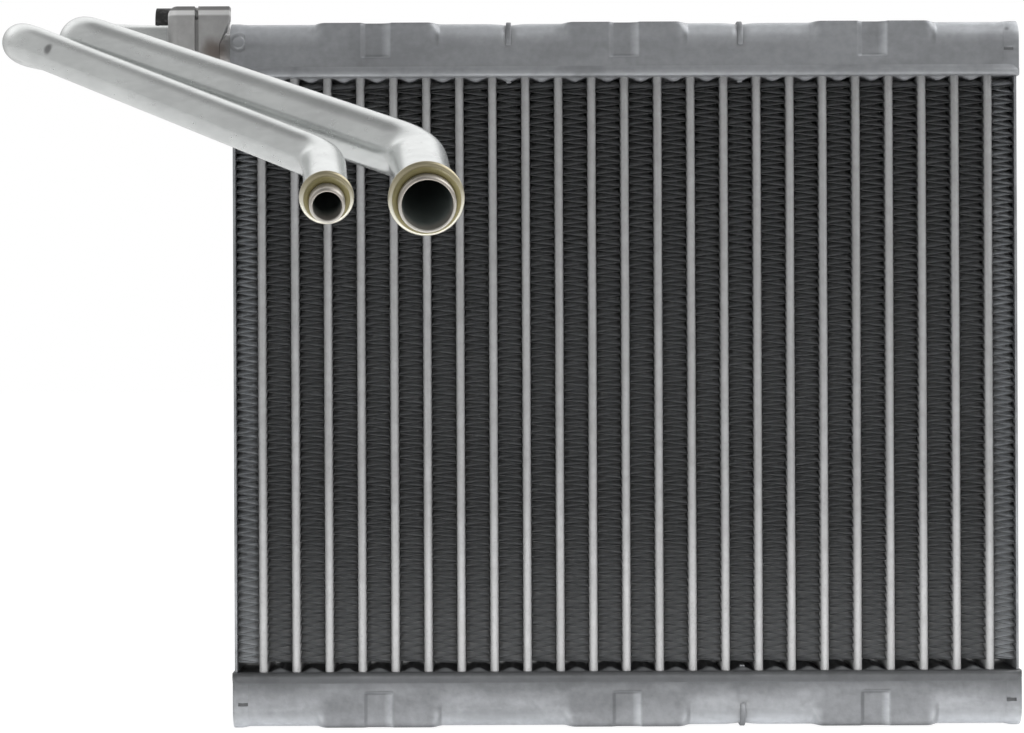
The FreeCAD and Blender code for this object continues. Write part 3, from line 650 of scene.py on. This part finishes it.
def cover_finish(name, dark, rises, pressed, metallic):
    """As the header's sheet, with painted light by height and at the notches, painted shade at the
    lobes' right ends, and the pressed lobes kept at one grey.
    """
    finish, shade = new_finish(name)
    tone, relief = sheet_clouds(shade, 30, 2.6)
    stain = shade.cloud(65, (1, 1, 0.5), detail=4).step(0.55, 0.7)
    lobes, braze, painted_light_and_shade = (shade.marked(word) for word in ("lobe", "braze", "painted_light_and_shade"))
    # The pressed lobes are kept at one grey, without the painted light by height.
    level = raised(shade, dark, rises) * (1 - lobes * 0.9) + lobes * (0.9 * pressed)
    # Painted light on the notches' right walls and feet, and painted shade at the lobes' right ends,
    # where the lamp above would glint.
    level = (level + painted_light_and_shade * 0.2) * (0.85 + tone * 0.28) * (1 - stain * 0.1)
    shade.surface(
        Base_Color=(braze * 0.5).mixed(level.mixed(BLACK, SHEET_TINT), grey(0.33, -0.01)),
        Metallic=metallic,
        Roughness=0.58 - tone * 0.12 + lobes * 0.06,
        Normal=shade.dented(relief, 0.00012),
    )
    return finish


# The bottom cover is a darker copy of the top one: painted shade up by its header, and painted light
# towards the floor.
cover_skins = {
    "top": cover_finish("top_cover_aluminium", 0.25, TANK_PAINTED_LIGHT["top"], 0.25, 0.6),
    "bottom": cover_finish("bottom_cover_aluminium", 0.12, TANK_PAINTED_LIGHT["bottom"], 0.195, 0.7),
}
for tank, skin in cover_skins.items():
    slits = SLIT_PLACES[tank]
    shell, faces = tank_cover(slits, tank == "top")
    points = in_place(shell, tank)
    piece = new_piece(f"{tank}_cover_shell", points, faces, skin, f"{tank}_tank_cover")
    mark(piece, "lobe", [lobe_share(x) * ease(z, 4.0, 6.0) for x, y, z in shell])
    mark(piece, "painted_light_and_shade", [notch_light_and_shade(x, z) for x, y, z in shell])
    braze = [hump(nearest(x, slits), 0, BRAZE_REACH) * ease(z, 8.5, 10.5) for x, y, z in shell]
    mark(piece, "braze", braze)
    wall = piece.modifiers.new("wall", "SOLIDIFY")
    wall.thickness = COVER_WALL * MM
    wall.offset = -1


# Partition plates and end caps
# Stamped plates that part the tanks, whose edges show in the covers' slits, and pressed cups that
# close the tanks' ends. The cups are staked at small slots, and all are brazed to the covers.

CAP_START = 120.2
CAP_END = 125.0
CAP_INSIDE = 0.02
CAP_LEAD = ((0.7, 0.4), (1.4, 0.75), (2.2, 1))
CAP_SHEET = {"top": 0.25, "bottom": 0.45}
CAP_TURN = 0.25
STAKE_LEVELS = {"top_right": 8.4, "bottom_left": 9.9, "bottom_right": 9.2}
STAKE_HALF = 0.5
STAKE_END = 123.2
DIMPLE = (-122.3, -19, 218)
NICK = (121.2, -18.5, 221.8)


def in_slot(x, z, stake):
    """Whether a point of the cap's sheet lies in its staking slot."""
    return stake is not None and x < STAKE_END and abs(z - stake) < STAKE_HALF


def grown(section, out, x, stake):
    """A section moved outwards, but not in the flange, and pressed in at a staking slot."""
    moved = []
    for i, (y, z) in enumerate(section):
        before, after = section[max(i - 1, 0)], section[min(i + 1, len(section) - 1)]
        run = Vector((after[0] - before[0], after[1] - before[1])).normalized()
        reach = CAP_INSIDE * 2 if in_slot(x, z, stake) else out * ease(z, 2.7, 3.4)
        moved.append((x, y - run.y * reach, z + run.x * reach))
    return moved


def cut_for_slot(section, stake):
    """A cap's section with more levels on its walls, just inside and outside the staking slot."""
    cuts = [stake + side * (STAKE_HALF + gap) for side in (-1, 1) for gap in (-0.05, 0.05)]
    wall = [(y, z) for y, z in section if y < 0 and z <= COVER_TOP - CORNER]
    wall += [(wall[0][0], z) for z in cuts if COVER_LOW < z < COVER_TOP - CORNER]
    wall.sort(key=lambda point: point[1])
    top = [(y, z) for y, z in section if z > COVER_TOP - CORNER]
    return wall + top + [(-y, z) for y, z in reversed(wall)]


def end_cup(sheet, stake):
    """The cap of a right end in the tank's own frame, as one closed shell."""
    section = cover_section(COVER_END, SLIT_PLACES["bottom"], False)
    if stake is not None:
        section = cut_for_slot(section, stake)
    rings = [(COVER_END + 0.05, CAP_INSIDE), (CAP_START, CAP_INSIDE), (CAP_START, CAP_INSIDE * 3)]
    rings += [(CAP_START + along, sheet * share) for along, share in CAP_LEAD]
    rings += [(x, sheet) for x in (STAKE_END - 0.1, STAKE_END + 0.1, CAP_END - CAP_TURN)]
    rings += [(CAP_END - 0.3 * CAP_TURN, sheet - 0.3 * CAP_TURN), (CAP_END, sheet - CAP_TURN)]
    points = [point for x, out in rings for point in grown(section, out, x, stake)]
    size, count = len(section), len(rings)
    front = [ring * size for ring in range(count)]
    rear = [start + size - 1 for start in front]
    faces = end_faces(size, count) + [tuple(front + rear[::-1])]
    return points, faces + joined_rings(size, count, closed=False)


def cap_finish(name, dark, rises, metallic, slot_painted_shade):
    """As the covers' sheet, with painted light by height, painted shade in the staking slots, a dimple
    at the top left and a nick at the right.
    """
    finish, shade = new_finish(name)
    tone, relief = sheet_clouds(shade, 30, 2.6)
    dimple = shade.away_from(*DIMPLE)
    ring = dimple.step(0.0016, 0.0023) * (1 - dimple.step(0.0026, 0.0034))
    nick = 1 - shade.away_from(*NICK).step(0.0004, 0.0013)
    # Painted light by height, as on the covers.
    level = raised(shade, dark, rises) * (0.85 + tone * 0.28)
    colour = (ring * 0.4).mixed(level.mixed(BLACK, SHEET_TINT), grey(dark * 0.6, -0.02))
    colour = (nick * 0.7).mixed(colour, grey(dark * 0.35))
    shade.surface(
        # Painted shade: the staking slots are coloured nearly black.
        Base_Color=(shade.marked("slot") * slot_painted_shade).mixed(colour, grey(0.03)),
        Metallic=metallic,
        Roughness=0.58 - tone * 0.12,
        Normal=shade.dented(relief - ring * 2, 0.00012),
    )
    return finish


plate_skin = sheet_finish("plate_aluminium", 0.2, 0.28)
eased("partition_edges", "partition_plates", plate_skin, 0.25)
# The bottom caps are a darker copy, with painted light towards the floor, as the bottom cover.
cap_skins = {
    "top": cap_finish("top_cap_aluminium", 0.25, TANK_PAINTED_LIGHT["top"], 0.6, 0.6),
    "bottom": cap_finish("bottom_cap_aluminium", 0.13, TANK_PAINTED_LIGHT["bottom"], 0.7, 0.75),
}
for tank, skin in cap_skins.items():
    for side, word in ((-1, "left"), (1, "right")):
        stake = STAKE_LEVELS.get(f"{tank}_{word}")
        cup, faces = end_cup(CAP_SHEET[tank], stake)
        points = [(x * side, y, z) for x, y, z in in_place(cup, tank)]
        piece = new_piece(f"{tank}_{word}_cup", points, faces, skin, "end_caps")
        mark(piece, "slot", [float(in_slot(x, z, stake)) for x, y, z in cup])


# Port block, pipe flange and clamp screw
# The block is machined and brazed to the top tank's end. The flange carries both pipes, and one
# black socket screw clamps it to the block.

BRAZE_HEAT = (-130.6, -14, 215.6)
PAINTED_LIGHT_BAND = (0.2268, 0.2276)
PAINTED_SHADE_EDGE = (0.2285, 0.2290)


def block_finish(name, dark, light):
    """Painted light in a band under the top edge, painted shade on the top edge, plainer grey below, and
    brown from the heat of brazing.
    """
    finish, shade = new_finish(name)
    cut = shade.cloud(1400, (0.03, 1, 0.03), detail=2)
    cloudy = shade.cloud(110, detail=4)
    height = shade.along(2)
    heat = shade.cloud(160, detail=3) * 0.004 + shade.away_from(*BRAZE_HEAT)
    heat = 1 - heat.step(0.0035, 0.0085)
    base = cloudy.step(0.3, 0.7).mixed(grey(dark, 0.01), grey(light, 0.005))
    # Painted light in a band under the top edge, and painted shade on the edge itself.
    base = height.step(*PAINTED_LIGHT_BAND).mixed(base, grey(light * 1.6, 0.005))
    base = height.step(*PAINTED_SHADE_EDGE).mixed(base, grey(0.27, 0.01))
    shade.surface(
        Base_Color=(heat * 0.75).mixed(base, (0.1, 0.068, 0.05, 1)),
        Metallic=0.7,
        Roughness=0.46 - cut * 0.12,
        Normal=shade.dented(cut, 0.00004),
    )
    return finish


def screw_finish():
    """Blackened steel, worn a little grey."""
    finish, shade = new_finish("black_screw")
    worn = shade.cloud(900, detail=3).step(0.5, 0.75)
    shade.surface(
        Base_Color=worn.mixed(grey(0.045), grey(0.1)),
        Metallic=0.6,
        Roughness=0.45 - worn * 0.15,
        Normal=shade.dented(worn, 0.00005),
    )
    return finish


block_skin = block_finish("block_aluminium", 0.32, 0.46)
eased("block_body", "port_block", block_skin, 0.35, segments=3)
flange_skin = block_finish("flange_aluminium", 0.38, 0.54)
eased("flange_body", "pipe_flange", flange_skin, 0.35, segments=3)
eased("screw_body", "clamp_screw", screw_finish(), 0.25)


# Liquid pipe and suction pipe
# Drawn aluminium tube, bent in three places, with an upset bead and a sized nose at the front end.
# The ends are passivated, which gives them a cream and olive tint.

BEND_GAP = 1.0
NOSE_ASIDE = math.radians(4.85)
NOSE_DOWN = math.radians(18.9)
SOCKET_X = -131.45
PIPE_WALL = 1.2
NOSE_WALL = 0.95
RIM = 2.0
LAND = 3.9
GROOVE = 0.4
AROUND = 64
RUN_STEP = 4
NOSE_STEP = 3
BEND_STEP = math.radians(4)
KNOCK = (-176.9, -54.2, 212.2)

PIPES = {
    "liquid": {
        "radius": 6.0, "y": 13.0, "above": 10.05, "corner": 190.5, "bends": (31.0, 31.0, 20.0),
        "rise": 1.4, "aside": 45.7, "drop": 17.75, "leg": 150.6, "run": 36.8,
        "nose": 4.75, "nose_reach": 9.6, "bead": 7.3,
    },
    "suction": {
        "radius": 8.0, "y": -4.0, "above": 10.55, "corner": 170.0, "bends": (19.5, 19.5, 24.0),
        "rise": 0.0, "aside": 49.45, "drop": 17.0, "leg": 148.5, "run": 43.7,
        "nose": 7.7, "nose_reach": 7.6, "bead": 10.2,
    },
}


def heading(aside, down):
    """A unit vector to the front, turned towards +X and down."""
    return Vector((math.sin(aside) * math.cos(down), -math.cos(aside) * math.cos(down), -math.sin(down)))


def pipe_corners(size):
    """Where the pipe's straight runs would meet: flange, left corner, rear corner, elbow, nose."""
    level = tank_levels["top"] + size["above"]
    start = Vector((SOCKET_X, size["y"], level))
    left = Vector((-size["corner"], size["y"], level))
    back = heading(0, -math.radians(size["rise"]))
    leg = heading(math.radians(size["aside"]), math.radians(size["drop"]))
    turns = Vector((-1, 0, 0)).angle(back), back.angle(leg)
    tangents = sum(size["bends"][0] * math.tan(turn / 2) for turn in turns)
    near = left + back * (tangents + BEND_GAP)
    elbow = near + leg * size["leg"]
    return [start, left, near, elbow, elbow + heading(NOSE_ASIDE, NOSE_DOWN) * size["run"]]


def pipe_line(corners, bends):
    """Points and headings along the pipe's middle: straight runs and bends."""
    line = []
    last = corners[0]
    for before, corner, after, bend in zip(corners, corners[1:], corners[2:], bends):
        inward = (corner - before).normalized()
        outward = (after - corner).normalized()
        turn = inward.angle(outward)
        start = corner - inward * bend * math.tan(turn / 2)
        side = (outward - inward * inward.dot(outward)).normalized()
        count = max(1, round((start - last).length / RUN_STEP))
        line += [(last + (start - last) * i / count, inward) for i in range(count)]
        steps = round(turn / BEND_STEP)
        for i in range(steps):
            angle = turn * i / steps
            point = start + inward * bend * math.sin(angle) + side * bend * (1 - math.cos(angle))
            line.append((point, inward * math.cos(angle) + side * math.sin(angle)))
        last = corner + outward * bend * math.tan(turn / 2)
    ahead = (corners[-1] - last).normalized()
    count = round((corners[-1] - last).length / NOSE_STEP)
    line += [(last + (corners[-1] - last) * i / count, ahead) for i in range(count + 1)]
    return line


def pipe_profile(size, line):
    """Rings as (point, heading, radius, part), from the socket over the nose and back inside.

    The part is 0 on the bare tube, 1 on the bead, 1.5 in the groove, 2 on the nose and 3 inside.
    """
    end, ahead = line[-1]
    outer, nose, bead, reach = size["radius"], size["nose"], size["bead"], size["nose_reach"]
    inside, groove = outer - PIPE_WALL, nose - GROOVE
    collar = [
        (-2.6, outer, 0.0), (-1.0, outer + 0.05, 0.5), (-0.3, outer + 0.35, 1.0),
        (-0.05, bead - 0.75, 1.0), (0.2, bead - 0.3, 1.0), (0.6, bead - 0.05, 1.0), (1.0, bead, 1.0),
        (1.4, bead - 0.05, 1.0), (1.8, bead - 0.3, 1.0), (RIM, bead - 0.75, 1.0),
        (RIM, nose - 0.1, 1.5), (RIM + 0.1, groove, 1.5), (LAND - 0.1, groove, 1.5),
        (LAND, nose - 0.15, 2.0), (LAND + 0.15, nose, 2.0),
        (reach - 0.6, nose, 2.0), (reach - 0.25, nose - 0.12, 2.0), (reach - 0.05, nose - 0.35, 2.0),
        (reach, nose - 0.55, 2.0), (reach - 0.05, nose - 0.8, 2.2),
        (reach - 0.3, nose - NOSE_WALL, 2.4), (-0.5, nose - NOSE_WALL, 3.0), (-1.5, inside, 3.0),
    ]
    rings = [(point, way, outer, 0.0) for point, way in line[:-2]]
    rings += [(end + ahead * along, ahead, radius, part) for along, radius, part in collar]
    return rings + [(point, way, inside, 3.0) for point, way in reversed(line[:-2])]


def swept_pipe(size):
    """The pipe's mesh, with the height around the tube and the part for each of its points."""
    rings = pipe_profile(size, pipe_line(pipe_corners(size), size["bends"]))
    points, heights, parts = [], [], []
    for centre, way, radius, part in rings:
        side = way.cross(Vector((0, 0, 1))).normalized()
        top = side.cross(way).normalized()
        for i in range(AROUND):
            angle = 2 * math.pi * i / AROUND
            points.append(centre + (top * math.cos(angle) + side * math.sin(angle)) * radius)
            heights.append(math.cos(angle))
            parts.append(part)
    return points, joined_rings(AROUND, len(rings), endless=True), heights, parts


def pipe_finish():
    """Satin drawn aluminium, clouded, with scuffs and one dent with painted shade; olive and cream ends
    and a matt inside.
    """
    finish, shade = new_finish("pipe_aluminium")
    part, height = shade.marked("part"), shade.marked("around")
    drawn = shade.cloud(420, (0.35, 0.35, 1.4), detail=4, roughness=0.6)
    cloudy = shade.cloud(48, detail=4)
    scuff = shade.cloud(260, (1, 1, 2), detail=3).step(0.6, 0.72)
    dent_and_shade = 1 - shade.away_from(*KNOCK).step(0.0008, 0.0024)
    tone = (drawn * 0.4 + cloudy * 0.6).step(0.3, 0.7)
    bare = tone.mixed((0.59, 0.605, 0.6, 1), (0.7, 0.72, 0.71, 1))
    bare = (scuff * 0.12).mixed(bare, grey(0.42))
    # Painted shade in the dent, whose shape the bump gives.
    bare = (dent_and_shade * 0.75).mixed(bare, grey(0.1))
    # Darker olive towards the top of the bead and nose, cream towards the bottom.
    toward_top = (height + cloudy * 0.5).step(-0.2, 1.0)
    rim = toward_top.mixed((0.68, 0.66, 0.57, 1), (0.38, 0.34, 0.23, 1))
    nose = toward_top.mixed((0.52, 0.5, 0.46, 1), (0.4, 0.37, 0.33, 1))
    on_rim, within = part.step(0.1, 0.9), part.step(2.3, 2.9)
    colour = on_rim.mixed(bare, rim)
    colour = part.step(1.6, 1.9).mixed(colour, nose)
    colour = part.step(2.5, 2.9).mixed(colour, (0.29, 0.33, 0.32, 1))
    shade.surface(
        Base_Color=colour,
        Metallic=0.85 - within * 0.5,
        Roughness=0.28 - drawn * 0.08 + scuff * 0.05 + on_rim * 0.12 + within * 0.2,
        Normal=shade.dented(drawn * 0.5 + cloudy * 0.5 - dent_and_shade * 4, 0.00006),
    )
    return finish


pipe_skin = pipe_finish()
for kind, size in PIPES.items():
    points, faces, heights, parts = swept_pipe(size)
    piece = new_piece(f"{kind}_tube", points, faces, pipe_skin, f"{kind}_pipe")
    mark(piece, "around", heights)
    mark(piece, "part", parts)


# Sealing rings
# Moulded rings of olive rubber with a round section. Each is rolled over a pipe's nose into the
# groove beside the bead, where it seals the pipe in its fitting.

RING_ROUND = 0.9
RING_GAP = 0.05
RING_TURNS = 72
RING_STEPS = 20


def ring_finish():
    """Olive rubber, a little mottled."""
    finish, shade = new_finish("ring_rubber")
    mottle = shade.cloud(500, detail=3)
    shade.surface(
        Base_Color=mottle.mixed((0.17, 0.145, 0.055, 1), (0.27, 0.235, 0.1, 1)),
        Roughness=0.5 - mottle * 0.15,
        Normal=shade.dented(mottle, 0.00003),
    )
    return finish


def rubber_ring(size):
    """A closed ring, seated on the floor of the pipe's groove."""
    ahead = heading(NOSE_ASIDE, NOSE_DOWN)
    centre = pipe_corners(size)[-1] + ahead * (RIM + LAND) / 2
    side = ahead.cross(Vector((0, 0, 1))).normalized()
    top = side.cross(ahead).normalized()
    reach = size["nose"] - GROOVE + RING_GAP + RING_ROUND
    points = []
    for turn in range(RING_TURNS):
        a = 2 * math.pi * turn / RING_TURNS
        out = top * math.cos(a) + side * math.sin(a)
        for step in range(RING_STEPS):
            b = 2 * math.pi * step / RING_STEPS
            outward = out * (reach + RING_ROUND * math.cos(b))
            points.append(centre + outward + ahead * RING_ROUND * math.sin(b))
    return points, joined_rings(RING_STEPS, RING_TURNS, endless=True)


ring_skin = ring_finish()
for kind, size in PIPES.items():
    points, faces = rubber_ring(size)
    new_piece(f"{kind}_sealing_ring", points, faces, ring_skin, "seal_rings")


# Floor and light
# A plain pale floor fades into white surroundings, which are brighter on the left and behind than
# in front. Soft lamps stand above on the right and behind, and a weak strip lies low in front.

FLOOR_REACH = 12
CORE = (0, 0, 0.11)

corners = [(x * FLOOR_REACH, y * FLOOR_REACH, 0) for x, y in ((-1, -1), (1, -1), (1, 1), (-1, 1))]
floor_mesh = bpy.data.meshes.new("floor")
floor_mesh.from_pydata(corners, [], [(0, 1, 2, 3)])
floor = bpy.data.objects.new("floor", floor_mesh)
bpy.context.collection.objects.link(floor)
floor_finish, shade = new_finish("floor_white")
mirrored = shade.node("ShaderNodeLightPath", output="Is Glossy Ray") * 0.5
seen = shade.maths("MAXIMUM", shade.node("ShaderNodeLightPath", output="Is Camera Ray"), mirrored)
plain = shade.node("ShaderNodeBsdfPrincipled", inputs={"Base Color": grey(0.85), "Roughness": 0.9})
glow = shade.node("ShaderNodeEmission", inputs={"Color": grey(1.0), "Strength": 1.16})
both = shade.node("ShaderNodeMixShader", inputs={0: seen * 0.8, 1: plain, 2: glow})
shade.node("ShaderNodeOutputMaterial", inputs={"Surface": both})
floor_mesh.materials.append(floor_finish)

world = bpy.data.worlds.new("studio")
world.use_nodes = True
world.node_tree.nodes.clear()
shade = Shade(world.node_tree)
rays = ("Is Camera Ray", "Is Transmission Ray")
seen = shade.maths("MAXIMUM", *(shade.node("ShaderNodeLightPath", output=ray) for ray in rays))
sky = {0: shade.node("ShaderNodeTexCoord")}
across, back, up = (shade.node("ShaderNodeSeparateXYZ", inputs=sky, output=axis) for axis in range(3))
from_left = 1 - across.step(-0.6, -0.25)
from_back = back.step(0.45, 0.72) * up.step(0.15, 0.45)
dark_strip = (1 - across.step(-0.25, -0.15)) * up.step(0.77, 0.85) * 0.35
light = (0.38 + from_left * 0.24 + from_back * 0.85) * (1 - dark_strip)
strength = shade.maths("MAXIMUM", seen, light)
ambient = shade.node("ShaderNodeBackground", inputs={"Color": grey(1.0), "Strength": strength})
shade.node("ShaderNodeOutputWorld", inputs={"Surface": ambient})
bpy.context.scene.world = world


def lamp(name, place, aim, width, height, power):
    """A soft rectangular lamp that the camera doesn't see."""
    light = bpy.data.lights.new(name, "AREA")
    light.shape = "RECTANGLE"
    light.size = width
    light.size_y = height
    light.energy = power
    piece = bpy.data.objects.new(name, light)
    piece.location = place
    piece.visible_camera = False
    piece.rotation_euler = (Vector(aim) - Vector(place)).to_track_quat("-Z", "Y").to_euler()
    bpy.context.collection.objects.link(piece)


lamp("lamp_above", (1.0, -0.35, 1.2), CORE, 1.4, 1.2, 12)
lamp("lamp_back", (0.8, 0.5, 0.95), CORE, 0.9, 0.9, 5)
lamp("lamp_low", (0, -0.2, 0.013), (0, 0, 0.05), 0.7, 0.02, 0.5)

bpy.context.scene.view_settings.view_transform = "Standard"
